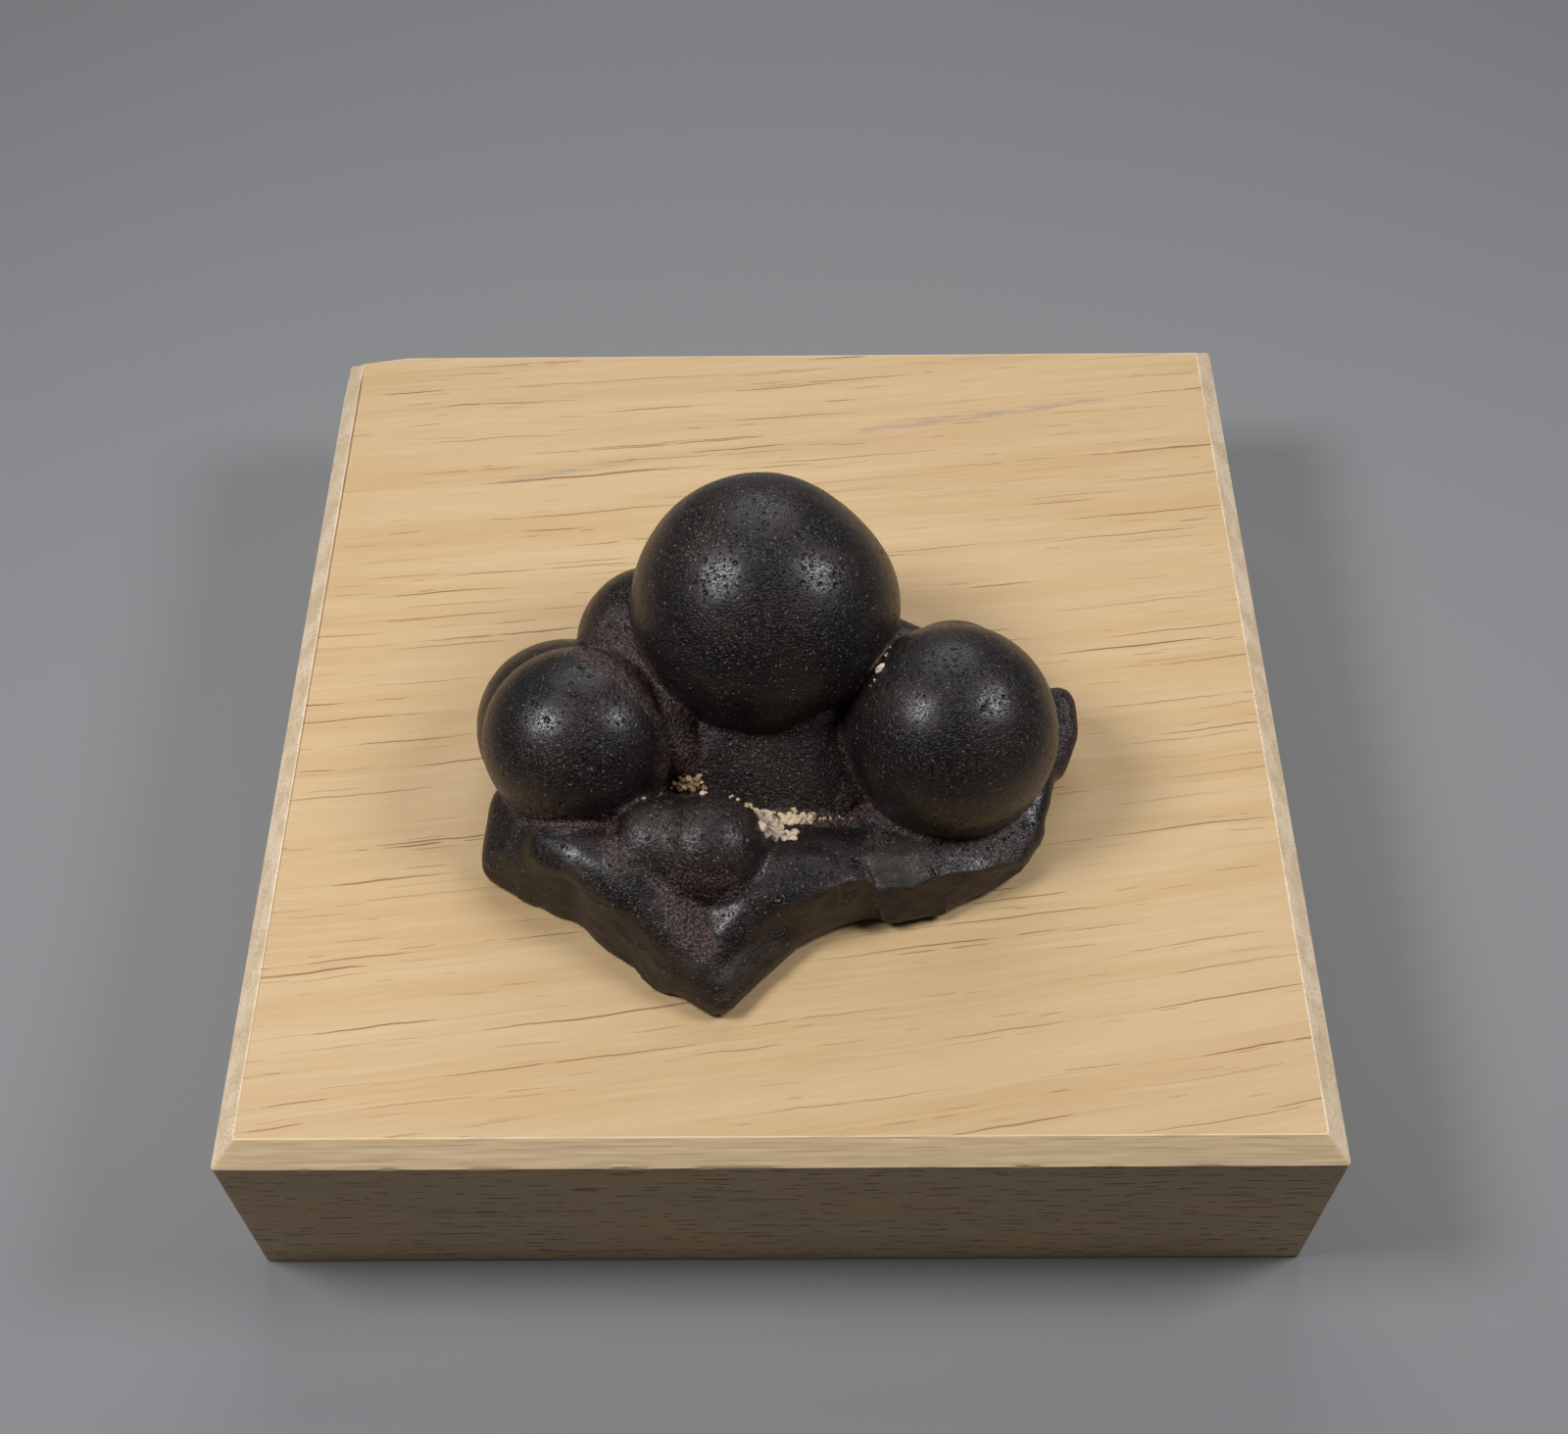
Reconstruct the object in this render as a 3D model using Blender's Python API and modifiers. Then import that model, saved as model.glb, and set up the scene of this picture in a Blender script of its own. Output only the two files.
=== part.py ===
"""A wood tin specimen, the grape-like form of cassiterite, resting on a chamfered wooden display block.

The frame is centred under the block: X to the right, Y to the back, Z up, metres. Places on the specimen
are given in millimetres about the block's centre, with Z measured up from the wood's top face.
"""

import bmesh
import bpy
import numpy as np
from mathutils import Matrix, Vector, noise

MM = 0.001

# The display block
BLOCK_SIDE = 90.0
BLOCK_THICK = 22.0
BLOCK_CHAMFER = 1.8
BLOCK_CORNER_ROUND = 0.35

# The specimen's main dome, from which the other lobes' sizes were judged
GREAT_DOME_RADIUS = 11.5
REST_GAP = 0.3

# How finely the mass is skinned, and how many faces the finished solid keeps
LEDGE_SKIN = 0.5
LOBE_SKIN = 0.35
LEDGE_SMOOTHING = 8
BREAK_SMOOTHING = 2
LEDGE_BALL_DETAIL = 3
DOME_BALL_DETAIL = 5
SOLID_TRIANGLES = 8200

# The ledge that the domes grew on. Each swelling is the hull of a few balls (x, y, z, radius).
LEDGE = {
    "floor": [
        (-21.5, -16.0, 3.0, 2.6),
        (-21.0, -5.0, 3.0, 2.6),
        (-14.0, 3.0, 3.0, 2.6),
        (3.0, 7.0, 3.0, 2.6),
        (14.0, 1.0, 3.0, 2.6),
        (20.5, -6.0, 2.6, 2.2),
        (20.3, -15.6, 2.4, 2.0),
        (12.0, -21.5, 2.6, 1.8),
        (0.0, -24.0, 3.0, 2.4),
        (-14.0, -22.0, 3.0, 2.4),
    ],
    "left shoulder": [
        (-18.4, -19.5, 4.8, 3.0),
        (-16.5, -20.5, 5.1, 3.2),
        (-14.4, -21.8, 5.0, 3.2),
        (-12.4, -23.1, 4.7, 3.1),
        (-10.9, -24.2, 4.4, 2.8),
        (-17.6, -19.8, 2.0, 3.0),
        (-11.6, -23.6, 2.0, 3.0),
    ],
    "left spur": [
        (-10.9, -24.2, 4.4, 2.8),
        (-9.1, -26.1, 4.0, 2.3),
        (-7.7, -28.0, 3.7, 1.9),
        (-10.9, -24.6, 1.6, 3.0),
        (-7.6, -28.9, 1.4, 2.4),
    ],
    "foot of the left shoulder": [
        (-19.6, -21.0, 1.0, 2.4),
        (-13.4, -25.6, 1.0, 2.3),
        (-9.5, -28.8, 1.2, 2.3),
        (-13.0, -20.0, 1.5, 2.4),
    ],
    "toe": [
        (-6.6, -29.2, 3.0, 1.9),
        (-6.3, -30.6, 2.0, 1.8),
        (-5.2, -31.5, 1.5, 1.9),
        (0.1, -25.9, 1.5, 1.8),
        (-9.0, -27.6, 1.6, 2.2),
        (-2.0, -24.0, 2.6, 2.4),
    ],
    "foot of the right shoulder": [
        (1.3, -25.3, 1.6, 1.8),
        (5.0, -24.4, 1.6, 1.8),
        (7.5, -23.2, 1.6, 1.8),
        (2.0, -22.0, 2.0, 2.0),
    ],
    "right shoulder": [
        (-1.7, -24.5, 5.0, 2.0),
        (1.6, -24.1, 5.2, 2.0),
        (4.0, -23.9, 5.1, 2.0),
        (5.3, -23.4, 4.9, 2.0),
        (-1.0, -21.4, 4.8, 2.2),
        (3.2, -19.8, 4.2, 2.2),
        (6.2, -20.4, 4.2, 2.2),
        (-1.7, -24.4, 2.0, 2.2),
        (5.5, -23.0, 2.0, 2.2),
    ],
    "right spur": [
        (-1.7, -24.5, 5.0, 2.0),
        (-3.4, -26.0, 4.4, 1.8),
        (-5.5, -28.6, 3.4, 1.6),
        (-3.4, -26.6, 1.8, 2.0),
        (-5.0, -29.2, 1.6, 2.0),
    ],
    "right plate": [
        (7.0, -24.2, 3.4, 2.2),
        (13.0, -23.4, 2.9, 2.2),
        (18.4, -21.0, 2.2, 1.4),
        (21.3, -16.5, 2.4, 1.6),
        (13.0, -15.5, 4.0, 2.0),
        (8.0, -17.5, 3.8, 2.2),
    ],
    "right rim": [
        (20.3, -17.5, 2.4, 1.6),
        (21.9, -13.8, 3.0, 1.6),
        (22.2, -9.5, 3.2, 2.0),
        (21.4, -6.0, 3.2, 2.4),
        (16.0, -10.0, 3.0, 3.0),
    ],
    "fluted knob": [
        (24.4, -4.9, 4.8, 1.7),
        (24.8, -7.4, 3.8, 1.5),
        (23.6, -9.8, 2.4, 1.6),
        (21.5, -5.0, 2.4, 2.2),
        (21.5, -9.0, 2.2, 2.0),
    ],
    "saddle between the domes": [
        (-14.5, -0.8, 5.6, 2.4),
        (-12.2, -4.4, 6.4, 2.8),
        (-10.2, -8.2, 6.2, 2.8),
        (-8.4, -11.2, 5.4, 2.6),
        (-7.6, -12.6, 4.4, 2.2),
    ],
    "valley between the shoulders": [
        (-8.0, -24.0, 3.5, 2.2),
        (-4.6, -24.2, 3.3, 2.2),
        (-6.7, -28.2, 3.1, 2.0),
    ],
    "left flange": [
        (-21.0, -15.8, 4.8, 1.8),
        (-22.9, -14.2, 3.4, 2.0),
        (-23.0, -16.6, 2.6, 2.0),
        (-23.5, -18.6, 1.6, 2.0),
        (-22.6, -20.6, 1.5, 2.3),
        (-20.2, -21.6, 1.6, 2.4),
        (-20.4, -17.0, 3.0, 2.4),
    ],
    "small front dome": [(-5.6, -20.5, 6.3, 4.8)],
    "half-sunk dome beside it": [(-10.2, -19.8, 5.9, 4.1)],
}

# The domes that stand crisp on the ledge: centre, then radii along X, Y and Z.
DOMES = {
    "great dome": ((-1.0, -1.0, 14.0), (GREAT_DOME_RADIUS,) * 3),
    "left dome": ((-17.4, -10.5, 8.5), (7.75, 7.75, 7.75)),
    "left dome, behind": ((-18.5, -7.2, 5.0), (7.75, 7.75, 7.75)),
    "right dome": ((15.5, -10.5, 9.3), (8.2, 9.25, 9.2)),
    "right dome, inner shoulder": ((13.4, -8.2, 7.4), (7.1, 7.1, 7.1)),
    "back left dome": ((-10.9, 0.3, 7.0), (6.93, 6.93, 6.93)),
    "back dome": ((4.6, 4.2, 4.4), (6.2, 6.2, 6.2)),
    "back right dome": ((15.4, -2.2, 4.4), (5.6, 5.6, 5.6)),
    "low back dome": ((-4.2, 6.0, 3.6), (4.9, 4.9, 4.9)),
}

# The low, wide lobe under the front of the great dome
APRON = [
    (-3.2, -7.6, 4.8, 7.0),
    (3.8, -7.4, 4.4, 7.0),
    (-4.4, -11.2, 2.9, 4.9),
    (0.2, -13.4, 2.4, 4.7),
    (4.4, -13.2, 2.4, 4.7),
]

# Where the mass broke off its vein: a point on the break, its outward direction, the width and height of
# the broken face, how deep the lost piece reached, and how uneven the face is. Handling rounded the first.
WORN_BREAKS = {
    "front left break": ((-12.55, -27.65, 3.0), (-0.632, -0.775, 0.134), (14.4, 20.0), 14.0, 0.25),
    "toe break": ((-8.1, -31.2, 2.3), (-0.336, -0.833, 0.44), (8.0, 9.0), 6.0, 0.15),
    "flange break": ((-21.4, -21.96, 0.9), (-0.45, -0.85, 0.27), (10.4, 9.0), 6.0, 0.20),
    "front right break": ((4.7, -25.2, 2.0), (0.40, -0.91, 0.144), (7.4, 16.0), 10.0, 0.15),
}
CRISP_BREAKS = {
    "plate break": ((11.5, -23.95, 2.0), (0.235, -0.972, 0.31), (13.0, 14.0), 10.0, 0.20),
    "plate corner break": ((18.0, -21.3, 1.5), (0.45, -0.893, 0.1), (9.0, 12.0), 10.0, 0.15),
    "flake scar": ((9.9, -21.8, 5.0), (-0.15, -0.35, 0.92), (5.0, 4.0), 2.4, 0.08),
    "underside": ((0.0, -8.0, 0.7), (0.0, 0.0, -1.0), (64.0, 64.0), 30.0, 0.20),
}

# The unevenness of a break: waves about this long, with finer ones this much shorter and weaker on top,
# on faces divided this finely
BREAK_WAVE = 3.0
FINE_WAVE_SHARE = 2.3
FINE_WAVE_STRENGTH = 0.5
BREAK_FACET = 1.3

# Rounded hollows: centre and radii of the ball that would fill each one
HOLLOWS = {
    "shell-shaped hollow right of the toe": ((4.4, -36.4, 8.5), (11.0, 11.0, 11.0)),
    "gap under the plate": ((7.6, -27.5, -3.2), (7.0, 5.0, 5.0)),
}

# Places where a dome is a little flatter than a ball: a point, the push's direction, its depth and reach
FLATS = [
    ((6.0, 4.5, 20.5), (-0.6, -0.45, -0.6), 0.75, 6.5),
    ((4.2, -10.0, 8.6), (-0.45, 0.6, 0.55), 1.6, 3.6),
]


def place(x, y, z):
    """A point given from the wood's top face, in the part's frame."""
    return Vector((x, y, z + BLOCK_THICK)) * MM


def add_ball(bm, centre, radii, subdivisions):
    matrix = Matrix.Translation(place(*centre)) @ Matrix.Diagonal((*[r * MM for r in radii], 1.0))
    bmesh.ops.create_icosphere(bm, subdivisions=subdivisions, radius=1.0, matrix=matrix)


def add_swelling(bm, balls, subdivisions):
    """One rounded form: the tight skin round a few balls."""
    form = bmesh.new()
    for x, y, z, radius in balls:
        add_ball(form, (x, y, z), (radius,) * 3, subdivisions)
    hull = bmesh.ops.convex_hull(form, input=form.verts)
    skin = {item for item in hull["geom"] if isinstance(item, bmesh.types.BMFace)}
    inner = [face for face in form.faces if face not in skin]
    bmesh.ops.delete(form, geom=inner, context="FACES_ONLY")
    loose = [vert for vert in form.verts if not vert.link_faces]
    bmesh.ops.delete(form, geom=loose, context="VERTS")
    mesh = bpy.data.meshes.new("swelling")
    form.to_mesh(mesh)
    form.free()
    bm.from_mesh(mesh)
    bpy.data.meshes.remove(mesh)


def object_from(bm, name, collection):
    mesh = bpy.data.meshes.new(name)
    bm.to_mesh(mesh)
    bm.free()
    made = bpy.data.objects.new(name, mesh)
    collection.objects.link(made)
    return made


def settled(source, name):
    """The object with its modifiers applied, under a new name."""
    graph = bpy.context.evaluated_depsgraph_get()
    mesh = bpy.data.meshes.new_from_object(source.evaluated_get(graph))
    mesh.name = name
    made = bpy.data.objects.new(name, mesh)
    source.users_collection[0].objects.link(made)
    bpy.data.objects.remove(source)
    return made


def skin_over(target, size):
    remesh = target.modifiers.new("Skin", "REMESH")
    remesh.mode = "VOXEL"
    remesh.voxel_size = size * MM


def soften(target, rounds):
    smooth = target.modifiers.new("Soften", "SMOOTH")
    smooth.factor = 0.5
    smooth.iterations = rounds


def broken_piece(name, point, outward, face, depth, unevenness, collection):
    """The lost piece of rock outside a break, with its inner face uneven."""
    normal = Vector(outward).normalized()
    bm = bmesh.new()
    bmesh.ops.create_cube(bm, size=1.0)
    cuts = int(max(face) / BREAK_FACET)
    bmesh.ops.subdivide_edges(bm, edges=bm.edges[:], cuts=cuts, use_grid_fill=True)
    size = Matrix.Diagonal((face[0] * MM, face[1] * MM, depth * MM, 1.0))
    turn = normal.to_track_quat("Z", "Y").to_matrix().to_4x4()
    move = Matrix.Translation(place(*point) + normal * depth / 2 * MM)
    bm.transform(move @ turn @ size)
    for vert in bm.verts:
        spot = vert.co / MM / BREAK_WAVE
        swell = noise.noise(spot) + FINE_WAVE_STRENGTH * noise.noise(spot * FINE_WAVE_SHARE)
        vert.co += normal * (2 * unevenness * swell * MM)
    return object_from(bm, name, collection)


def flatten_domes(mesh):
    """Presses the flats in and keeps the lowest points on one level, where the specimen stands."""
    points = np.empty(len(mesh.vertices) * 3)
    mesh.vertices.foreach_get("co", points)
    points = points.reshape(-1, 3)
    for spot, direction, depth, reach in FLATS:
        push = np.array(Vector(direction).normalized()) * depth * MM
        away = np.linalg.norm(points - np.array(place(*spot)), axis=1) / (reach * MM)
        points += np.exp(-(away**2))[:, None] * push
    points[:, 2] = np.maximum(points[:, 2], (BLOCK_THICK + REST_GAP) * MM)
    mesh.vertices.foreach_set("co", points.ravel())
    mesh.update()


def material(name, colour, roughness, metallic=0.0):
    made = bpy.data.materials.new(name)
    made.use_nodes = True
    shader = made.node_tree.nodes["Principled BSDF"]
    shader.inputs["Base Color"].default_value = (*colour, 1.0)
    shader.inputs["Roughness"].default_value = roughness
    shader.inputs["Metallic"].default_value = metallic
    return made


def make_display_block(collection):
    bm = bmesh.new()
    size = (BLOCK_SIDE * MM, BLOCK_SIDE * MM, BLOCK_THICK * MM)
    lift = Matrix.Translation((0.0, 0.0, size[2] / 2))
    bmesh.ops.create_cube(bm, size=1.0, matrix=lift @ Matrix.Diagonal((*size, 1.0)))
    top = [edge for edge in bm.edges if min(vert.co.z for vert in edge.verts) > size[2] / 2]
    bmesh.ops.bevel(bm, geom=top, offset=BLOCK_CHAMFER * MM, segments=1, affect="EDGES")
    # The upright corners and the mitres above them are the edges that climb.
    climb = BLOCK_CHAMFER * MM / 2
    corners = [edge for edge in bm.edges if abs(edge.verts[0].co.z - edge.verts[1].co.z) > climb]
    rounding = BLOCK_CORNER_ROUND * MM
    bmesh.ops.bevel(bm, geom=corners, offset=rounding, segments=2, profile=0.5, affect="EDGES")
    block = object_from(bm, "display_block", collection)
    block.data.materials.append(material("pale open-pored wood", (0.62, 0.44, 0.23), 0.62))


def break_off(target, lost):
    """Takes the lost pieces out of the target, and keeps them out of the pictures."""
    for piece in lost:
        piece.hide_render = True
        piece.display_type = "WIRE"
        cut = target.modifiers.new(piece.name, "BOOLEAN")
        cut.operation = "DIFFERENCE"
        cut.solver = "MANIFOLD"
        cut.object = piece


def make_wood_tin(collection, cutters):
    bm = bmesh.new()
    for balls in LEDGE.values():
        add_swelling(bm, balls, LEDGE_BALL_DETAIL)
    ledge = object_from(bm, "ledge", collection)
    skin_over(ledge, LEDGE_SKIN)
    lost = [broken_piece(name, *rest, cutters) for name, rest in WORN_BREAKS.items()]
    for name, (centre, radii) in HOLLOWS.items():
        bm = bmesh.new()
        add_ball(bm, centre, radii, DOME_BALL_DETAIL)
        lost.append(object_from(bm, name, cutters))
    break_off(ledge, lost)
    skin_over(ledge, LEDGE_SKIN)
    soften(ledge, LEDGE_SMOOTHING)
    ledge = settled(ledge, "softened ledge")

    bm = bmesh.new()
    bm.from_mesh(ledge.data)
    for centre, radii in DOMES.values():
        add_ball(bm, centre, radii, DOME_BALL_DETAIL)
    add_swelling(bm, APRON, DOME_BALL_DETAIL)
    mass = object_from(bm, "mass", collection)
    bpy.data.objects.remove(ledge)
    skin_over(mass, LOBE_SKIN)
    break_off(mass, [broken_piece(name, *rest, cutters) for name, rest in CRISP_BREAKS.items()])
    skin_over(mass, LOBE_SKIN)
    soften(mass, BREAK_SMOOTHING)
    mass = settled(mass, "wood_tin")
    flatten_domes(mass.data)

    thin = mass.modifiers.new("Fewer faces", "DECIMATE")
    triangles = sum(len(face.vertices) - 2 for face in mass.data.polygons)
    thin.ratio = SOLID_TRIANGLES / triangles
    thin.use_collapse_triangulate = True
    mass.data.shade_smooth()
    mass.data.materials.append(material("dark satin cassiterite", (0.020, 0.017, 0.017), 0.42))


def main():
    for old in list(bpy.data.objects):
        bpy.data.objects.remove(old)
    scene = bpy.context.scene
    specimen = bpy.data.collections.new("wood tin on a block")
    cutters = bpy.data.collections.new("cutters")
    scene.collection.children.link(specimen)
    scene.collection.children.link(cutters)
    make_display_block(specimen)
    make_wood_tin(specimen, cutters)
    cutters.hide_render = True


main()
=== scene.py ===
"""A wood tin specimen on its wooden display block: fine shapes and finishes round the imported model.

X runs along the wood's grain, Y to the back and Z up, in metres. Places on the specimen are given in
millimetres about the block's centre, with Z measured up from the wood's top face.
"""

import random
from math import radians

import bmesh
import bpy
import numpy as np
from mathutils import Matrix, Vector, noise
from mathutils.bvhtree import BVHTree


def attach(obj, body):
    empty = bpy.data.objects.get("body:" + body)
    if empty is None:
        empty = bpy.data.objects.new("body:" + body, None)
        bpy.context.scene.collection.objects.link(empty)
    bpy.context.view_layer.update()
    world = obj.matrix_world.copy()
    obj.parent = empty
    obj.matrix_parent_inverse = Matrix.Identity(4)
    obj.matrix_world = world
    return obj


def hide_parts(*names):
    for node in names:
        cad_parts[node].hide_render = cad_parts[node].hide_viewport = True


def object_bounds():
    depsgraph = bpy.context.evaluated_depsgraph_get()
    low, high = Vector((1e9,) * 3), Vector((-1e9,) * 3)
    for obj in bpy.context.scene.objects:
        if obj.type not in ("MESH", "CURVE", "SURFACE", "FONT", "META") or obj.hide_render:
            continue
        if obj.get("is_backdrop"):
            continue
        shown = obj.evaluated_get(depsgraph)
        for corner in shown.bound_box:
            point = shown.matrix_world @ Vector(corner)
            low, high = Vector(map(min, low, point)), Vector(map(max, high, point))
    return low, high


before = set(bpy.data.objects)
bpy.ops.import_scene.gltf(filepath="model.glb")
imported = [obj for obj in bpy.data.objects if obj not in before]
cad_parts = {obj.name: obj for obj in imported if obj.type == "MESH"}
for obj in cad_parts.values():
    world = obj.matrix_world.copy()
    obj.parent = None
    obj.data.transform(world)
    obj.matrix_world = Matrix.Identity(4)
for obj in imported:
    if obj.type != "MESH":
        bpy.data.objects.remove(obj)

MM = 0.001
cad_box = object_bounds()

# The display block
# A small square of pale hardwood with open vessels, its grain running from left to right, sanded and given
# a matt clear finish. The chamfer was planed round its top, which tore a few fibres from the front edge,
# and the back left corner is worn.
BLOCK_SIDE = 90.0
BLOCK_THICK = 22.0
CHAMFER = 1.8
CORNER_ROUND = 0.35
CORNER_STEPS = 5
OUTLINE_STEP = 0.4
CHAMFER_RINGS = 13
SIDE_RINGS = 18
EASED_EDGE = 0.12
FIBRE_RELIEF = 0.035
# Where along the front edge fibres are torn out, over what length and how deep
TORN_FIBRES = [
    (-31.0, 0.6, 0.22),
    (-23.6, 0.9, 0.18),
    (-11.6, 1.3, 0.20),
    (-5.8, 0.5, 0.24),
    (19.4, 0.8, 0.26),
]
# How far the wear reaches from the corner, and how far it goes back and down
WORN_CORNER = (6.6, 0.75, 0.55)


def square_ring(inset):
    """Points round the block's outline at this inset, from the front left, and their outward directions."""
    straight = BLOCK_SIDE / 2 - inset - CORNER_ROUND
    run = np.linspace(-1, 1, int(BLOCK_SIDE / OUTLINE_STEP))
    bend = np.radians(np.linspace(0, 90, CORNER_STEPS + 1)[1:-1])
    side = np.column_stack([run * straight, np.full(len(run), -straight - CORNER_ROUND)])
    side_out = np.tile([0.0, -1.0], (len(run), 1))
    arc_out = np.column_stack([np.sin(bend), -np.cos(bend)])
    arc = np.array([straight, -straight]) + arc_out * CORNER_ROUND
    quarter = np.vstack([side, arc])
    quarter_out = np.vstack([side_out, arc_out])
    turns = [np.array([[c, s], [-s, c]]) for c, s in ((1, 0), (0, 1), (-1, 0), (0, -1))]
    return np.vstack([quarter @ turn for turn in turns]), np.vstack([quarter_out @ turn for turn in turns])


def cloud(points, size, seed=0.0):
    """Smooth random heights from -1 to 1, in blotches of this size, one for each point."""
    return np.array([noise.noise(spot) for spot in (points / np.array(size) + seed).tolist()])


def smooth_step(value, low, high):
    share = np.clip((value - low) / (high - low), 0, 1)
    return share * share * (3 - 2 * share)


def block_rings():
    """Rings of points from the top face's edge over the chamfer and down the sides."""
    steps = [(CHAMFER + EASED_EDGE, 0.0, 0.0), (CHAMFER, -0.02, 0.0)]
    for share in np.linspace(0.07, 1, CHAMFER_RINGS):
        steps.append((CHAMFER * (1 - share), -CHAMFER * share, 1.0))
    fall = np.linspace(-CHAMFER - 0.45, -BLOCK_THICK + 0.2, SIDE_RINGS)
    steps += [(0.0, height, 0.0) for height in fall] + [(0.15, -BLOCK_THICK, 0.0)]
    rings = []
    for inset, height, planed in steps:
        flat, outward = square_ring(inset)
        ring = np.column_stack([flat, np.full(len(flat), BLOCK_THICK + height)])
        along = np.abs(outward[:, 1]) > 0.9
        if planed:
            layers = cloud(ring, (7.0, 0.28, 0.28)) + 0.6 * cloud(ring, (2.5, 0.13, 0.13), 5.0)
            sunk = FIBRE_RELIEF * np.minimum(layers - 0.3, 0.0) * along
            ring[:, :2] += outward * sunk[:, None]
            ring[:, 2] += sunk
        if height == -CHAMFER:
            ragged = cloud(ring, (3.0, 3.0, 3.0), 9.0) + 0.7 * cloud(ring, (0.9, 0.9, 0.9), 2.0)
            ring[:, 2] -= 0.05 * np.abs(ragged) * along
            for middle, length, depth in TORN_FIBRES:
                near = np.exp(-(((flat[:, 0] - middle) / length) ** 2)) * (outward[:, 1] < -0.9)
                ring[:, 2] -= depth * near
        reach, back, down = WORN_CORNER
        worn = np.clip((flat[:, 0] + BLOCK_SIDE / 2 - reach) / -reach, 0, 1)
        worn *= smooth_step(flat[:, 1], BLOCK_SIDE / 2 - reach, BLOCK_SIDE / 2)
        worn *= smooth_step(height, -8.0, 0.0)
        ring[:, 1] -= back * worn
        ring[:, 2] -= down * worn
        ring[:, :2] = np.clip(ring[:, :2], -BLOCK_SIDE / 2, BLOCK_SIDE / 2)
        rings.append(ring)
    return np.array(rings), np.abs(outward[:, 1]) > 0.5


class Wire:
    """A shader node's output. Sums written with it become Math nodes."""

    def __init__(self, socket):
        self.socket = socket

    def node(self, kind, settings, sockets, output=0):
        """Any other node of this tree: its settings first, then the values or links of its sockets."""
        tree = self.socket.id_data
        made = tree.nodes.new(kind)
        for name, value in settings.items():
            setattr(made, name, value)
        for name, value in sockets.items():
            if isinstance(value, Wire):
                tree.links.new(value.socket, made.inputs[name])
            else:
                made.inputs[name].default_value = value
        return Wire(made.outputs[output])

    def other(self, output):
        """Another output of the same node."""
        return Wire(self.socket.node.outputs[output])

    def sum(self, operation, first, second=0.0):
        return self.node("ShaderNodeMath", {"operation": operation}, {0: first, 1: second})

    def __add__(self, more):
        return self.sum("ADD", self, more)

    def __radd__(self, more):
        return self.sum("ADD", more, self)

    def __sub__(self, less):
        return self.sum("SUBTRACT", self, less)

    def __rsub__(self, whole):
        return self.sum("SUBTRACT", whole, self)

    def __mul__(self, times):
        return self.sum("MULTIPLY", self, times)

    def __rmul__(self, times):
        return self.sum("MULTIPLY", times, self)

    def __truediv__(self, parts):
        return self.sum("DIVIDE", self, parts)

    def __pow__(self, power):
        return self.sum("POWER", self, power)

    def __abs__(self):
        return self.sum("ABSOLUTE", self)

    def least(self, other):
        return self.sum("MINIMUM", self, other)

    def most(self, other):
        return self.sum("MAXIMUM", self, other)

    def rise(self, low, high):
        """0 up to low and 1 from high, with a smooth ramp between."""
        ends = {"Value": self, "From Min": low, "From Max": high}
        return self.node("ShaderNodeMapRange", {"interpolation_type": "SMOOTHSTEP"}, ends)

    def tint(self, first, second):
        """A colour that goes from first to second as this value goes from 0 to 1."""
        ends = [(*end, 1.0) if isinstance(end, tuple) else end for end in (first, second)]
        return self.node("ShaderNodeMix", {"data_type": "RGBA"}, {0: self, 6: ends[0], 7: ends[1]}, 2)

    def scaled(self, size):
        """The place counted in steps of this size along X, Y and Z."""
        return self.node("ShaderNodeVectorMath", {"operation": "DIVIDE"}, {0: self, 1: size})

    def mottle(self, size, detail=2.0, seed=0.0):
        """Cloudy variation between 0 and 1 in blotches of this size, from a place in millimetres."""
        spot = self.node("ShaderNodeVectorMath", {}, {0: self.scaled(size), 1: (seed,) * 3})
        return spot.node("ShaderNodeTexNoise", {}, {"Vector": spot, "Scale": 1.0, "Detail": detail})


def new_finish(name):
    """A new material with its main shader, and the place on the piece in millimetres."""
    made = bpy.data.materials.new(name)
    made.use_nodes = True
    shader = made.node_tree.nodes["Principled BSDF"]
    start = Wire(shader.outputs[0]).node("ShaderNodeTexCoord", {}, {}, "Object")
    place = start.node("ShaderNodeVectorMath", {"operation": "SCALE"}, {0: start, "Scale": 1 / MM})
    return made, shader, place


def feed(shader, **values):
    """Links or sets the main shader's sockets, which are named with underscores here."""
    for name, value in values.items():
        entry = shader.inputs[name.replace("_", " ")]
        if isinstance(value, Wire):
            shader.id_data.links.new(value.socket, entry)
        else:
            entry.default_value = value


def relief(height, strength=1.0):
    """A surface direction from a height in millimetres."""
    return height.node("ShaderNodeBump", {}, {"Height": height, "Strength": strength, "Distance": MM})


def vessel_slits(along, across, length, apart, width, share, seed):
    """Cut vessels, 1 inside: one slit in this share of the cells of this length and spacing."""
    cell = {"X": along / length + seed * 7.31, "Y": across / apart + seed * 3.17}
    spot = along.node("ShaderNodeCombineXYZ", {}, cell)
    cells = spot.node("ShaderNodeTexVoronoi", {"voronoi_dimensions": "2D"}, {"Vector": spot, "Scale": 1.0}, 2)
    away = spot.node("ShaderNodeVectorMath", {"operation": "SUBTRACT"}, {0: spot, 1: cells})
    away = away.node("ShaderNodeSeparateXYZ", {}, {0: away})
    luck = cells.node("ShaderNodeSeparateColor", {}, {0: cells.other(1)})
    reach = luck * 0.34 + 0.10
    taper = (1 - (away / reach) ** 2).most(0.0) ** 0.5
    half = taper * (luck.other(2) * 0.8 + 0.6) * (width / 2)
    inside = (half - abs(away.other(1)) * apart).rise(-0.03, 0.05)
    return inside * luck.other(1).rise(1 - share - 0.01, 1 - share + 0.01)


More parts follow.
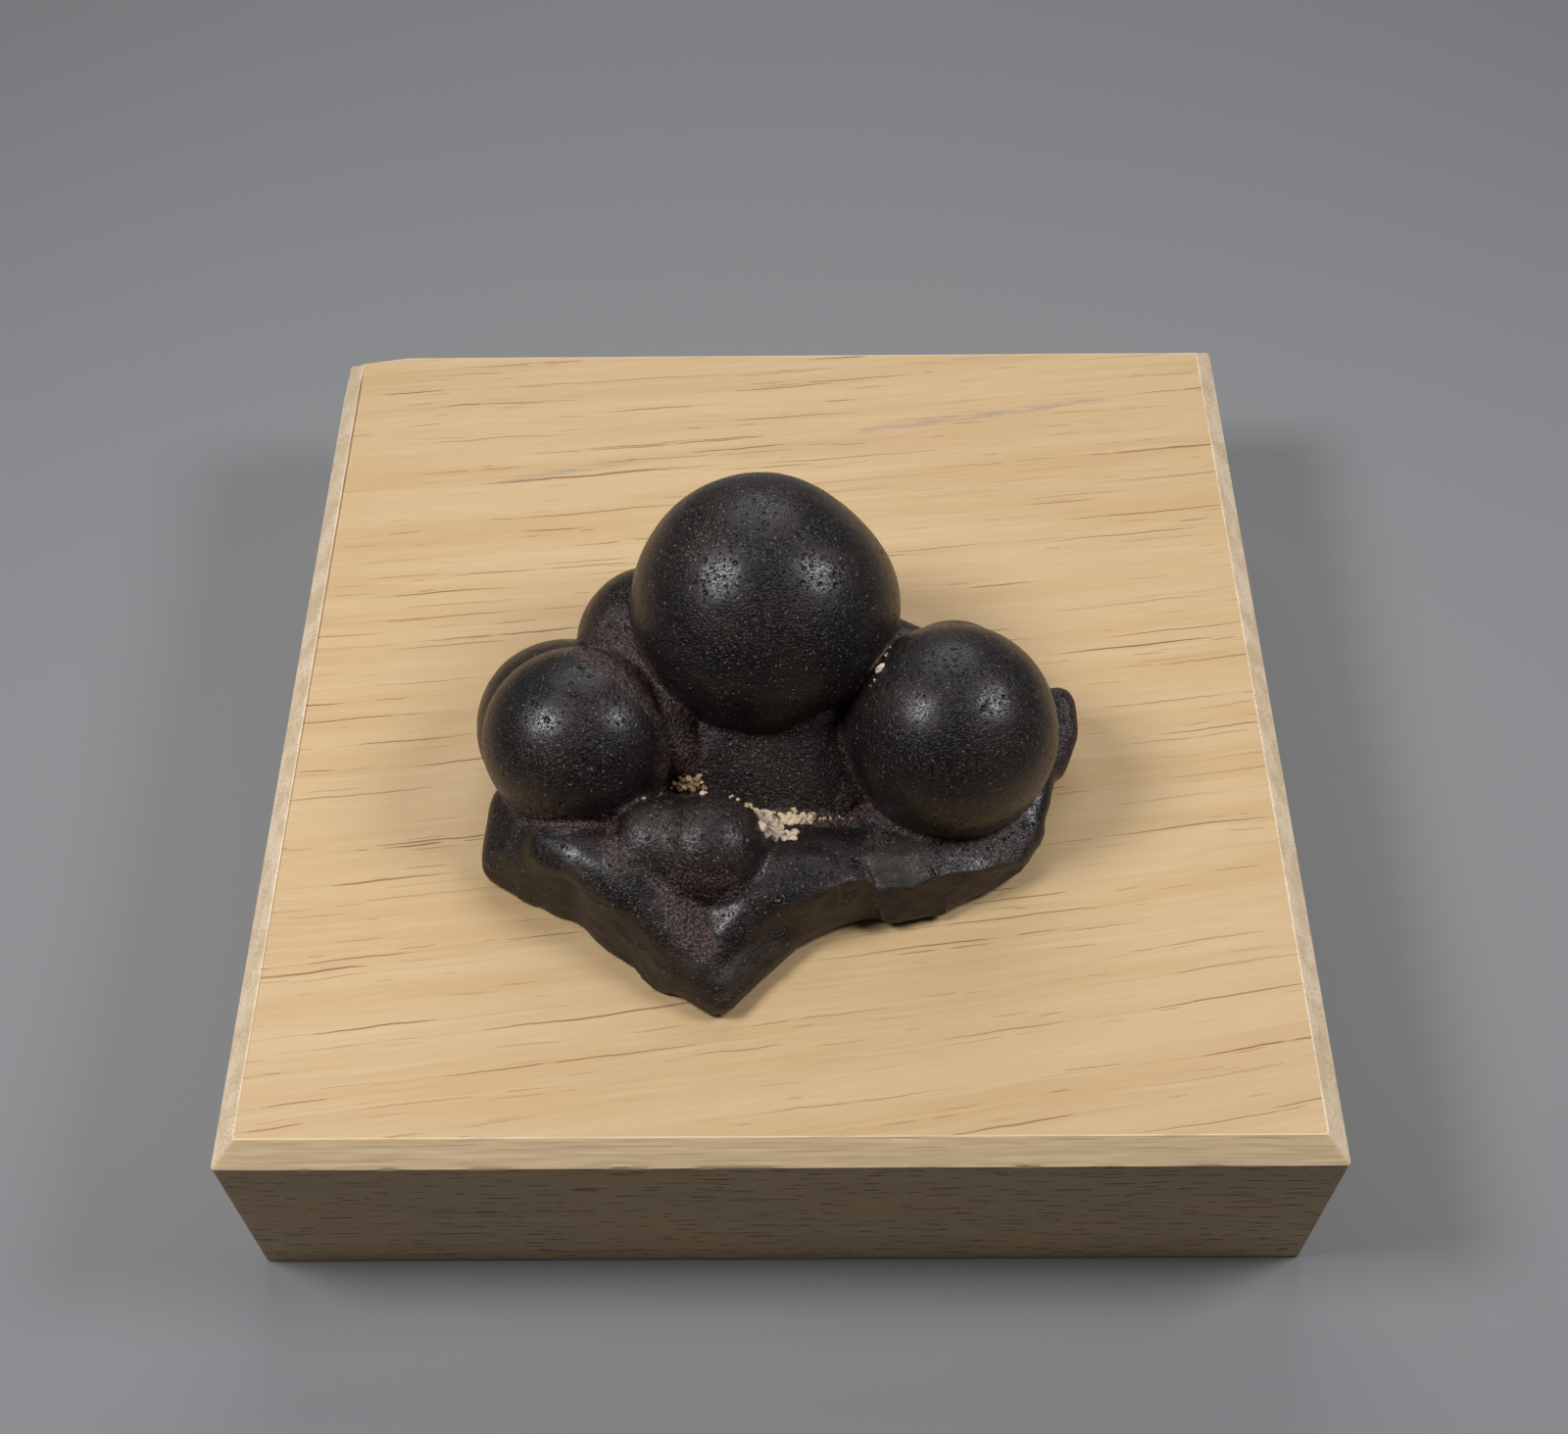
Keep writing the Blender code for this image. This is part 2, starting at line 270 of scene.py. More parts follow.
def stroke(place_x, place_y, start, end, width):
    """A soft smudge along a line, 1 at its middle."""
    line = Vector(end) - Vector(start)
    step = line.normalized()
    x, y = place_x - start[0], place_y - start[1]
    along = x * step.x + y * step.y
    across = y * step.x - x * step.y
    ends = along.rise(-2.0, 2.5) * (1 - along.rise(line.length - 2.5, line.length + 2.0))
    return ends * (1 - abs(across).rise(0.0, width))


STRAW = (0.655, 0.460, 0.245)
WARM_STRAW = (0.61, 0.405, 0.198)
PALE_STRAW = (0.72, 0.54, 0.32)
VESSEL_BROWN = (0.28, 0.105, 0.030)
GREY_STAIN = (0.36, 0.29, 0.21)
GREY_WOOD = (0.55, 0.44, 0.30)
PLANED_STRAW = (0.88, 0.66, 0.40)
PLANED_END = (0.92, 0.74, 0.53)


def wood_body(place, along, across, fibre):
    """The colour of the wood between its vessels, and how its fibres stand in relief."""
    lie = along.node("ShaderNodeCombineXYZ", {}, {"X": along, "Y": across, "Z": 0.0})
    bands = lie.mottle((60.0, 3.2, 1.0), 2.0)
    streaks = lie.mottle((14.0, 0.55, 1.0), 3.0, 4.0)
    fibres = lie.mottle((fibre, 0.13, 1.0), 2.0, 9.0)
    colour = bands.rise(0.35, 0.7).tint(STRAW, WARM_STRAW)
    colour = (streaks.rise(0.45, 0.75) * 0.35).tint(colour, PALE_STRAW)
    shade = (fibres - 0.5) * 0.16 + 1.0
    colour = place.node(
        "ShaderNodeVectorMath", {"operation": "SCALE"}, {0: colour, "Scale": shade}
    )
    return colour, fibres, lie


def top_finish():
    made, shader, place = new_finish("sanded wood with open vessels")
    x = place.node("ShaderNodeSeparateXYZ", {}, {0: place})
    y = x.other(1)
    wander = place.mottle((11.0, 7.0, 9.0), 2.0, 3.0) - 0.5
    across = y - x * 0.115 - x * x * 0.0003 + x * y * 0.0008 + wander * 0.9
    colour, fibres, lie = wood_body(place, x, across, 5.0)
    wobble = across + (lie.mottle((2.2, 1.5, 1.0), 1.0, 6.0) - 0.5) * 0.16
    slits = vessel_slits(x, wobble, 30.0, 2.7, 0.145, 0.62, 1.0)
    slits = slits.most(vessel_slits(x, wobble, 16.0, 2.1, 0.12, 0.45, 2.0) * 0.8)
    slits = slits.most(vessel_slits(x, wobble, 5.0, 1.5, 0.12, 0.4, 3.0) * 0.5)
    slits = slits * lie.mottle((4.2, 0.6, 1.0), 1.0, 2.0).rise(0.26, 0.42)
    slits = slits * (lie.mottle((30.0, 5.0, 1.0), 1.0, 8.0).rise(0.3, 0.6) * 0.7 + 0.3)
    stain = stroke(x, y, (-27.6, 26.2), (-14.0, 28.6), 0.7)
    stain = stain.most(stroke(x, y, (7.0, 32.2), (33.0, 36.7), 0.8))
    stain = stain * lie.mottle((4.0, 0.35, 1.0), 2.0, 5.0).rise(0.35, 0.6)
    colour = (stain * 0.7).tint(colour, GREY_STAIN)
    colour = (slits * 0.9).tint(colour, VESSEL_BROWN)
    glint = place.mottle((0.16, 0.12, 0.2), 1.0)
    height = slits * -0.05 + fibres * 0.010 + glint * 0.012
    feed(shader, Base_Color=colour, Roughness=0.46 + slits * 0.3 + glint * 0.12, Specular_IOR_Level=0.5)
    feed(shader, Normal=relief(height))
    return made


def planed_finish(name, end_grain):
    """The chamfer: layered fibres on the long sides, speckled end grain on the other two."""
    made, shader, place = new_finish(name)
    x = place.node("ShaderNodeSeparateXYZ", {}, {0: place})
    y, z = x.other(1), x.other(2)
    if end_grain:
        colour, _, _ = wood_body(place, z * 0.3, y, 1.0)
        speckle = place.mottle((0.30, 0.22, 0.25), 2.0)
        blotches = place.mottle((2.0, 2.5, 2.0), 2.0, 3.0).rise(0.35, 0.65)
        colour = (blotches * 0.5 + 0.5).tint(colour, PLANED_END)
        colour = (speckle.rise(0.52, 0.68) * 0.45).tint(colour, GREY_STAIN)
        height = speckle * 0.03
    else:
        colour, _, lie = wood_body(place, x, z + y * 0.02 - x * 0.006, 6.0)
        layers = lie.mottle((9.0, 0.16, 1.0), 3.0, 2.0)
        colour = (layers.rise(0.30, 0.50) * 0.4 + 0.5).tint(colour, PLANED_STRAW)
        colour = (layers.rise(0.54, 0.66) * 0.4).tint(colour, GREY_STAIN)
        height = layers * 0.03
    feed(shader, Base_Color=colour, Roughness=0.6, Normal=relief(height))
    return made


def sawn_finish(name, end_grain):
    """The upright sides: short dark vessels on the long sides, pores and rays on the end grain."""
    made, shader, place = new_finish(name)
    x = place.node("ShaderNodeSeparateXYZ", {}, {0: place})
    y, z = x.other(1), x.other(2)
    if end_grain:
        ring = z + y * 0.10 + y * y * 0.004
        colour, fibres, _ = wood_body(place, y, ring, 3.0)
        pores = place.scaled((0.55, 0.55, 0.45))
        pores = pores.node("ShaderNodeTexVoronoi", {}, {"Vector": pores, "Scale": 1.0})
        dark = (1 - pores.rise(0.10, 0.26)) * ring.node(
            "ShaderNodeTexNoise", {"noise_dimensions": "1D"}, {"W": ring / 1.8, "Scale": 1.0}
        ).rise(0.4, 0.6)
        colour = (place.mottle((1.0, 9.0, 1.2), 2.0, 3.0).rise(0.35, 0.7) * 0.6).tint(colour, GREY_WOOD)
    else:
        across = z - x * 0.006 + (place.mottle((14.0, 9.0, 4.0), 1.0) - 0.5) * 1.0
        colour, fibres, lie = wood_body(place, x, across, 5.0)
        dark = vessel_slits(x, across, 3.6, 1.3, 0.19, 0.55, 4.0)
        dark = dark.most(vessel_slits(x, across, 2.2, 0.9, 0.15, 0.45, 5.0))
        dark = dark.most(vessel_slits(x, across, 9.0, 2.4, 0.17, 0.25, 6.0))
        colour = (lie.mottle((16.0, 1.4, 1.0), 2.0, 3.0).rise(0.40, 0.7) * 0.6).tint(colour, GREY_WOOD)
    colour = (dark * 0.85).tint(colour, VESSEL_BROWN)
    height = dark * -0.05 + fibres * 0.012
    feed(shader, Base_Color=colour, Roughness=0.62, Normal=relief(height))
    return made


rings, long_side = block_rings()
around = rings.shape[1]
corners = rings.reshape(-1, 3)
faces, finishes = [list(range(around))], [0]
for level in range(len(rings) - 1):
    on_chamfer = level < CHAMFER_RINGS + 1
    for step in range(around):
        ahead = (step + 1) % around
        low, high = (level + 1) * around, level * around
        faces.append([low + step, low + ahead, high + ahead, high + step])
        finishes.append((1 if on_chamfer else 3) + (0 if long_side[step] else 1))
faces.append(list(range((len(rings) - 1) * around, len(rings) * around))[::-1])
finishes.append(0)
mesh = bpy.data.meshes.new("display_block_looks")
mesh.from_pydata((corners * MM).tolist(), [], faces)
mesh.polygons.foreach_set("material_index", finishes)
mesh.update()
mesh.shade_smooth()
mesh.set_sharp_from_angle(angle=radians(28))
block = bpy.data.objects.new("display_block_looks", mesh)
bpy.context.scene.collection.objects.link(block)
mesh.materials.append(top_finish())
mesh.materials.append(planed_finish("planed chamfer with the grain", False))
mesh.materials.append(planed_finish("planed chamfer across the grain", True))
mesh.materials.append(sawn_finish("long side of the wood", False))
mesh.materials.append(sawn_finish("end grain of the wood", True))
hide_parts("display_block")
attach(block, "root")

# The wood tin
# One natural mass of cassiterite: smooth rounded domes, almost black, that grew together on a ledge, and
# broken faces where the mass came off its vein, brown partly in their own colour and partly with painted
# warm light bounced up from the wood. It rests on the wood by its own weight.
LEDGE_SKIN = 0.4
LEDGE_SMOOTHING = 14
FINE_SKIN = 0.17
BREAK_SMOOTHING = 4
LEDGE_BALL_DETAIL = 3
DOME_BALL_DETAIL = 6
MOST_TRIANGLES = 196000
GREAT_DOME_RADIUS = 11.5
# How far the finished skin stays clear of the wood, and below the height of the solid
FOOT_GAP = 0.03
TOP_GAP = 0.01

# The ledge that the domes grew on. Each swelling is the hull of a few balls (x, y, z, radius).
LEDGE = {
    "floor": [
        (-21.5, -16.0, 3.0, 2.6),
        (-21.0, -5.0, 3.0, 2.6),
        (-14.0, 3.0, 3.0, 2.6),
        (3.0, 7.0, 3.0, 2.6),
        (14.0, 1.0, 3.0, 2.6),
        (20.5, -6.0, 2.6, 2.2),
        (20.3, -15.6, 2.4, 2.0),
        (12.0, -21.5, 2.6, 1.8),
        (0.0, -24.0, 3.0, 2.4),
        (-14.0, -22.0, 3.0, 2.4),
    ],
    "left shoulder": [
        (-18.4, -19.5, 4.8, 3.0),
        (-16.5, -20.5, 5.1, 3.2),
        (-14.4, -21.8, 5.0, 3.2),
        (-12.4, -23.1, 4.7, 3.1),
        (-10.9, -24.2, 4.4, 2.8),
        (-17.6, -19.8, 2.0, 3.0),
        (-11.6, -23.6, 2.0, 3.0),
    ],
    "left spur": [
        (-10.9, -24.2, 4.4, 2.8),
        (-9.1, -26.1, 4.0, 2.3),
        (-7.7, -28.0, 3.7, 1.9),
        (-10.9, -24.6, 1.6, 3.0),
        (-7.6, -28.9, 1.4, 2.4),
    ],
    "foot of the left shoulder": [
        (-19.6, -21.0, 1.0, 2.4),
        (-13.4, -25.6, 1.0, 2.3),
        (-9.5, -28.8, 1.2, 2.3),
        (-13.0, -20.0, 1.5, 2.4),
    ],
    "toe": [
        (-6.6, -29.2, 3.0, 1.9),
        (-6.3, -30.6, 2.0, 1.8),
        (-5.2, -31.5, 1.5, 1.9),
        (0.1, -25.9, 1.5, 1.8),
        (-9.0, -27.6, 1.6, 2.2),
        (-2.0, -24.0, 2.6, 2.4),
    ],
    "foot of the right shoulder": [
        (1.3, -25.3, 1.6, 1.8),
        (5.0, -24.4, 1.6, 1.8),
        (7.5, -23.2, 1.6, 1.8),
        (2.0, -22.0, 2.0, 2.0),
    ],
    "right shoulder": [
        (-1.7, -24.5, 5.0, 2.0),
        (1.6, -24.1, 5.2, 2.0),
        (4.0, -23.9, 5.1, 2.0),
        (5.3, -23.4, 4.9, 2.0),
        (-1.0, -21.4, 4.8, 2.2),
        (3.2, -19.8, 4.2, 2.2),
        (6.2, -20.4, 4.2, 2.2),
        (-1.7, -24.4, 2.0, 2.2),
        (5.5, -23.0, 2.0, 2.2),
    ],
    "right spur": [
        (-1.7, -24.5, 5.0, 2.0),
        (-3.4, -26.0, 4.4, 1.8),
        (-5.5, -28.6, 3.4, 1.6),
        (-3.4, -26.6, 1.8, 2.0),
        (-5.0, -29.2, 1.6, 2.0),
    ],
    "right plate": [
        (7.0, -24.2, 3.4, 2.2),
        (13.0, -23.4, 2.9, 2.2),
        (18.4, -21.0, 2.2, 1.4),
        (21.3, -16.5, 2.4, 1.6),
        (13.0, -15.5, 4.0, 2.0),
        (8.0, -17.5, 3.8, 2.2),
    ],
    "right rim": [
        (20.3, -17.5, 2.4, 1.6),
        (21.9, -13.8, 3.0, 1.6),
        (22.2, -9.5, 3.2, 2.0),
        (21.4, -6.0, 3.2, 2.4),
        (16.0, -10.0, 3.0, 3.0),
    ],
    "fluted knob": [
        (24.4, -4.9, 4.8, 1.7),
        (24.8, -7.4, 3.8, 1.5),
        (23.6, -9.8, 2.4, 1.6),
        (21.5, -5.0, 2.4, 2.2),
        (21.5, -9.0, 2.2, 2.0),
    ],
    "saddle between the domes": [
        (-14.2, -1.9, 10.0, 2.4),
        (-12.5, -3.2, 10.3, 2.6),
        (-11.0, -6.1, 10.5, 2.7),
        (-9.6, -9.0, 9.9, 2.8),
        (-8.6, -11.0, 8.0, 2.7),
        (-7.6, -11.9, 5.5, 2.4),
    ],
    "saddle right of the great dome": [
        (5.4, -7.0, 9.0, 2.4),
        (7.5, -6.2, 9.2, 2.4),
        (7.8, -8.4, 7.2, 2.4),
        (7.5, -11.0, 5.2, 2.4),
    ],
    "valley between the shoulders": [
        (-8.0, -24.0, 3.5, 2.2),
        (-4.6, -24.2, 3.3, 2.2),
        (-6.7, -28.2, 3.1, 2.0),
    ],
    "left flange": [
        (-21.0, -15.8, 4.8, 1.8),
        (-22.9, -14.2, 3.4, 2.0),
        (-23.0, -16.6, 2.6, 2.0),
        (-23.5, -18.6, 1.6, 2.0),
        (-22.6, -20.6, 1.5, 2.3),
        (-20.2, -21.6, 1.6, 2.4),
        (-20.4, -17.0, 3.0, 2.4),
    ],
    "small front dome": [(-5.6, -20.5, 6.3, 4.8)],
    "half-sunk dome beside it": [(-10.2, -19.8, 5.9, 4.1)],
}

# The domes that stand crisp on the ledge: centre, then radii along X, Y and Z.
DOMES = {
    "great dome": ((-1.0, -1.0, 14.0), (GREAT_DOME_RADIUS,) * 3),
    "left dome": ((-16.9, -10.9, 8.5), (8.15, 7.9, 7.75)),
    "left dome, behind": ((-18.5, -7.2, 5.0), (7.75, 7.75, 7.75)),
    "right dome": ((14.6, -10.9, 9.3), (8.9, 9.1, 9.2)),
    "right dome, inner shoulder": ((13.4, -8.2, 7.4), (7.1, 7.1, 7.1)),
    "back left dome": ((-10.9, 0.3, 7.0), (6.93, 6.93, 6.93)),
    "back dome": ((4.6, 4.2, 4.4), (6.2, 6.2, 6.2)),
    "back right dome": ((15.4, -2.2, 4.4), (5.6, 5.6, 5.6)),
    "right front lobe": ((1.3, -22.4, 4.2), (6.2, 3.2, 3.2)),
    "low back dome": ((-4.2, 6.0, 3.6), (4.9, 4.9, 4.9)),
}

# The low, wide lobe under the front of the great dome
APRON = [
    (-3.2, -7.6, 4.8, 7.0),
    (3.8, -7.4, 4.4, 7.0),
    (-4.4, -11.2, 2.9, 4.9),
    (0.2, -13.4, 2.4, 4.7),
    (4.4, -13.2, 2.4, 4.7),
]

# Where the mass broke off its vein: a point on the break, its outward direction, the width and height of
# the broken face, how deep the lost piece reached, and how uneven it is. Handling rounded the worn ones.
WORN_BREAKS = {
    "front left break": ((-12.55, -27.65, 3.0), (-0.632, -0.775, 0.134), (14.4, 20.0), 14.0, 0.25),
    "toe break": ((-8.1, -31.2, 2.3), (-0.336, -0.833, 0.44), (8.0, 9.0), 6.0, 0.15),
    "flange break": ((-21.4, -21.96, 0.9), (-0.45, -0.85, 0.27), (10.4, 9.0), 6.0, 0.20),
    "front right break": ((4.7, -25.2, 2.0), (0.40, -0.91, 0.144), (7.4, 16.0), 10.0, 0.15),
}
CRISP_BREAKS = {
    "plate break": ((11.5, -23.95, 2.0), (0.235, -0.972, 0.31), (13.0, 14.0), 10.0, 0.20),
    "plate corner break": ((18.0, -21.3, 1.5), (0.45, -0.893, 0.1), (9.0, 12.0), 10.0, 0.15),
    "flake scar": ((9.9, -21.8, 5.35), (0.18, -0.36, 0.915), (5.0, 4.0), 2.4, 0.08),
    "underside": ((0.0, -8.0, 0.4), (0.0, 0.0, -1.0), (64.0, 64.0), 30.0, 0.15),
}
BREAK_WAVE = 3.0
FINE_WAVE_SHARE = 2.3
FINE_WAVE_STRENGTH = 0.5
BREAK_FACET = 0.6

# Rounded hollows: centre and radius of the ball that would fill each one
HOLLOWS = {
    "shell-shaped hollow right of the toe": ((4.4, -36.4, 8.5), (11.0, 11.0, 11.0)),
    "gap under the plate": ((7.6, -27.5, -3.2), (7.0, 5.0, 5.0)),
}

# Places where a dome is a little flatter than a ball: a point, the push's direction, its depth and reach
FLATS = [
    ((6.0, 4.5, 20.5), (-0.6, -0.45, -0.6), 0.75, 6.5),
    ((4.2, -10.0, 8.6), (-0.45, 0.6, 0.55), 1.6, 3.6),
]


def add_ball(bm, centre, radii, detail):
    spot = Vector((centre[0], centre[1], centre[2] + BLOCK_THICK)) * MM
    matrix = Matrix.Translation(spot) @ Matrix.Diagonal((*[r * MM for r in radii], 1.0))
    bmesh.ops.create_icosphere(bm, subdivisions=detail, radius=1.0, matrix=matrix)


def add_swelling(bm, balls, detail):
    """One rounded form: the tight skin round a few balls."""
    form = bmesh.new()
    for x, y, z, radius in balls:
        add_ball(form, (x, y, z), (radius,) * 3, detail)
    hull = bmesh.ops.convex_hull(form, input=form.verts)
    skin = {item for item in hull["geom"] if isinstance(item, bmesh.types.BMFace)}
    inner = [face for face in form.faces if face not in skin]
    bmesh.ops.delete(form, geom=inner, context="FACES_ONLY")
    loose = [vert for vert in form.verts if not vert.link_faces]
    bmesh.ops.delete(form, geom=loose, context="VERTS")
    made = bpy.data.meshes.new("swelling")
    form.to_mesh(made)
    form.free()
    bm.from_mesh(made)
    bpy.data.meshes.remove(made)


def object_from(bm, name):
    made = bpy.data.meshes.new(name)
    bm.to_mesh(made)
    bm.free()
    body = bpy.data.objects.new(name, made)
    bpy.context.scene.collection.objects.link(body)
    return body


def settle(body):
    """Gives the object the mesh that its modifiers make of it."""
    graph = bpy.context.evaluated_depsgraph_get()
    made = bpy.data.meshes.new_from_object(body.evaluated_get(graph))
    body.modifiers.clear()
    body.data = made


def skin_over(body, size):
    remesh = body.modifiers.new("Skin", "REMESH")
    remesh.mode = "VOXEL"
    remesh.voxel_size = size * MM


def soften(body, rounds):
    smooth = body.modifiers.new("Soften", "SMOOTH")
    smooth.factor = 0.5
    smooth.iterations = rounds


def broken_piece(name, point, outward, face, depth, unevenness):
    """The lost piece of rock outside a break, with its inner face uneven."""
    normal = Vector(outward).normalized()
    bm = bmesh.new()
    bmesh.ops.create_cube(bm, size=1.0)
    cuts = int(max(face) / BREAK_FACET)
    bmesh.ops.subdivide_edges(bm, edges=bm.edges[:], cuts=cuts, use_grid_fill=True)
    size = Matrix.Diagonal((face[0] * MM, face[1] * MM, depth * MM, 1.0))
    turn = normal.to_track_quat("Z", "Y").to_matrix().to_4x4()
    spot = Vector((point[0], point[1], point[2] + BLOCK_THICK)) * MM
    bm.transform(Matrix.Translation(spot + normal * depth / 2 * MM) @ turn @ size)
    for vert in bm.verts:
        spot = vert.co / MM / BREAK_WAVE
        swell = noise.noise(spot) + FINE_WAVE_STRENGTH * noise.noise(spot * FINE_WAVE_SHARE)
        vert.co += normal * (2 * unevenness * swell * MM)
    return object_from(bm, name)


def points_of(made):
    """The mesh's points in millimetres from the wood's top face."""
    points = np.empty(len(made.vertices) * 3)
    made.vertices.foreach_get("co", points)
    return points.reshape(-1, 3) / MM - [0, 0, BLOCK_THICK]


def move_points(made, points):
    made.vertices.foreach_set("co", ((points + [0, 0, BLOCK_THICK]) * MM).ravel())
    made.update()


def directions_of(made):
    outward = np.empty(len(made.vertices) * 3)
    made.vertex_normals.foreach_get("vector", outward)
    return outward.reshape(-1, 3)


def averaged(made, values, rounds):
    """The values smoothed over the surface by this many rounds of averaging with neighbours."""
    edges = np.empty(len(made.edges) * 2, dtype=np.int32)
    made.edges.foreach_get("vertices", edges)
    first, second = edges[::2], edges[1::2]
    size = len(values)
    count = np.bincount(edges, minlength=size)
    for _ in range(rounds):
        columns = []
        for column in values.T:
            total = np.bincount(first, column[second], size) + np.bincount(second, column[first], size)
            columns.append(0.5 * column + 0.5 * total / count)
        values = np.array(columns).T
    return values


def hollowness(made, points, outward, rounds):
    """How far the smoothed surface stands above the real one: above 0 in creases, below 0 on crests."""
    return np.sum((averaged(made, points, rounds) - points) * outward, axis=1)


def broken_share(points, outward):
    """1 on the broken faces, fading to 0 at their rims."""
    share = np.zeros(len(points))
    for point, direction, face, _, unevenness in [*WORN_BREAKS.values(), *CRISP_BREAKS.values()]:
        normal = Vector(direction).normalized()
        turn = np.array(normal.to_track_quat("Z", "Y").to_matrix())
        inside = (points - np.array(point)) @ turn
        level = 1 - smooth_step(np.abs(inside[:, 2]), 1.2 * unevenness + 0.15, 1.5 * unevenness + 0.45)
        within = 1 - smooth_step(np.abs(inside[:, 0]), face[0] / 2, face[0] / 2 + 0.4)
        within *= 1 - smooth_step(np.abs(inside[:, 1]), face[1] / 2, face[1] / 2 + 0.4)
        share = np.maximum(share, level * within * smooth_step(outward @ np.array(normal), 0.45, 0.75))
    for centre, radii in HOLLOWS.values():
        away = (points - np.array(centre)) / np.array(radii)
        reach = np.linalg.norm(away, axis=1)
        facing = np.sum(outward * away, axis=1) / reach
        level = 1 - smooth_step(np.abs(reach - 1) * radii[0], 0.3, 0.7)
        share = np.maximum(share, level * smooth_step(-facing, 0.45, 0.75))
    return share


def break_off(body, lost):
    """Takes the lost pieces out of the body."""
    for piece in lost:
        cut = body.modifiers.new(piece.name, "BOOLEAN")
        cut.operation = "DIFFERENCE"
        cut.solver = "MANIFOLD"
        cut.object = piece
    settle(body)
    for piece in lost:
        bpy.data.objects.remove(piece)


bm = bmesh.new()
for balls in LEDGE.values():
    add_swelling(bm, balls, LEDGE_BALL_DETAIL)
ledge = object_from(bm, "ledge")
skin_over(ledge, LEDGE_SKIN)
lost = [broken_piece(name, *rest) for name, rest in WORN_BREAKS.items()]
for name, (centre, radii) in HOLLOWS.items():
    bm = bmesh.new()
    add_ball(bm, centre, radii, DOME_BALL_DETAIL)
    lost.append(object_from(bm, name))
break_off(ledge, lost)
skin_over(ledge, LEDGE_SKIN)
soften(ledge, LEDGE_SMOOTHING)
ledge.modifiers.new("Rounder", "SUBSURF").levels = 1
settle(ledge)

bm = bmesh.new()
bm.from_mesh(ledge.data)
bpy.data.objects.remove(ledge)
for centre, radii in DOMES.values():
    add_ball(bm, centre, radii, DOME_BALL_DETAIL)
add_swelling(bm, APRON, DOME_BALL_DETAIL - 1)
tin = object_from(bm, "wood_tin_looks")
skin_over(tin, FINE_SKIN)
break_off(tin, [broken_piece(name, *rest) for name, rest in CRISP_BREAKS.items()])
skin_over(tin, FINE_SKIN)
soften(tin, BREAK_SMOOTHING)
settle(tin)

mesh = tin.data
points = points_of(mesh)
for spot, direction, depth, reach in FLATS:
    away = np.linalg.norm(points - np.array(spot), axis=1) / reach
    points += np.exp(-(away**2))[:, None] * np.array(Vector(direction).normalized()) * depth
points[:, 2] = np.maximum(points[:, 2], FOOT_GAP)
move_points(mesh, points)

# Rough ground between the domes, where the mass never closed into a smooth skin, and the other matt
# places: the two ends of a line, half its width, and how rough it is
ROUGH_GROUND = [
    ((-14.1, -3.0, 12.2), (-11.0, -7.2, 12.0), 2.6, 1.0),
    ((-11.0, -7.2, 12.0), (-8.4, -12.8, 8.6), 2.7, 1.0),
    ((-16.0, -6.2, 15.0), (-12.0, -9.8, 14.2), 1.5, 0.9),
    ((-12.0, -9.8, 14.2), (-9.3, -12.4, 10.0), 1.4, 0.9),
    ((5.6, -8.4, 11.2), (7.7, -9.8, 9.4), 1.5, 0.6),
    ((24.9, -4.4, 6.2), (24.2, -9.8, 3.4), 1.3, 0.5),
    ((-5.6, -20.6, 10.8), (-5.6, -23.4, 9.8), 3.4, 0.28),
    ((-10.4, -20.2, 9.8), (-10.8, -22.0, 8.6), 2.4, 0.35),
    ((-13.9, -21.0, 8.2), (-12.8, -23.0, 7.8), 0.9, 0.9),
    ((-22.0, -17.0, 6.8), (-17.3, -18.4, 7.8), 1.2, 1.0),
    ((-17.3, -18.4, 7.8), (-12.4, -16.6, 7.2), 1.5, 1.0),
    ((-9.0, -17.2, 8.9), (-8.8, -22.4, 9.0), 0.45, 1.0),
    ((-13.4, -19.4, 7.6), (-11.4, -22.6, 7.2), 0.8, 0.8),
    ((-11.4, -22.6, 7.2), (-8.6, -25.0, 6.4), 0.9, 1.0),
    ((-7.8, -23.8, 7.6), (-4.4, -24.4, 7.2), 1.5, 1.0),
    ((-8.2, -25.6, 6.0), (-6.4, -29.0, 4.9), 1.6, 1.0),
    ((6.4, -15.6, 6.2), (11.8, -18.0, 6.0), 1.5, 0.8),
    ((12.0, -19.0, 5.4), (20.0, -18.4, 4.2), 1.9, 0.5),
    ((8.6, -20.2, 5.8), (12.5, -20.6, 5.2), 1.6, 0.4),
    ((-2.8, -17.2, 6.6), (6.0, -17.2, 5.7), 0.8, 1.0),
    ((-5.4, -11.4, 9.9), (5.8, -11.2, 9.9), 2.4, 0.20),
    ((-4.6, -14.8, 7.4), (5.6, -14.6, 7.2), 2.6, 0.20),
]


def near_lines(points, lines):
    """The roughness of the nearest line, fading to 0 past a ragged edge."""
    share = np.zeros(len(points))
    ragged = 0.35 * cloud(points, 0.9, 6.0)
    for start, end, width, strength in lines:
        start, run = np.array(start), np.array(end) - np.array(start)
        along = np.clip((points - start) @ run / (run @ run), 0, 1)
        away = np.linalg.norm(points - start - along[:, None] * run, axis=1) / width + ragged
        share = np.maximum(share, strength * (1 - smooth_step(away, 0.7, 1.25)))
    return share


def near_spots(points, spots):
    """The share given for the nearest spot, fading over its reach."""
    share = np.zeros(len(points))
    for spot, reach, strength in spots:
        away = np.linalg.norm(points - np.array(spot), axis=1) / reach
        share = np.maximum(share, strength * np.exp(-(away**2)))
    return share


# Relief of the surface, each with its size and height: slow swells on the domes, grains and lumps on the
# rough ground, and flaky steps on the breaks
SWELL = (6.0, 0.10)
WRINKLE = (1.1, 0.022)
GRAIN = (0.45, 0.085)
LUMP = (1.1, 0.10)
FLAKE_RUN = Vector((0.775, -0.632, -0.10))
FLAKE_SIZE = (4.5, 0.75)
FLAKE_STEP = 0.05

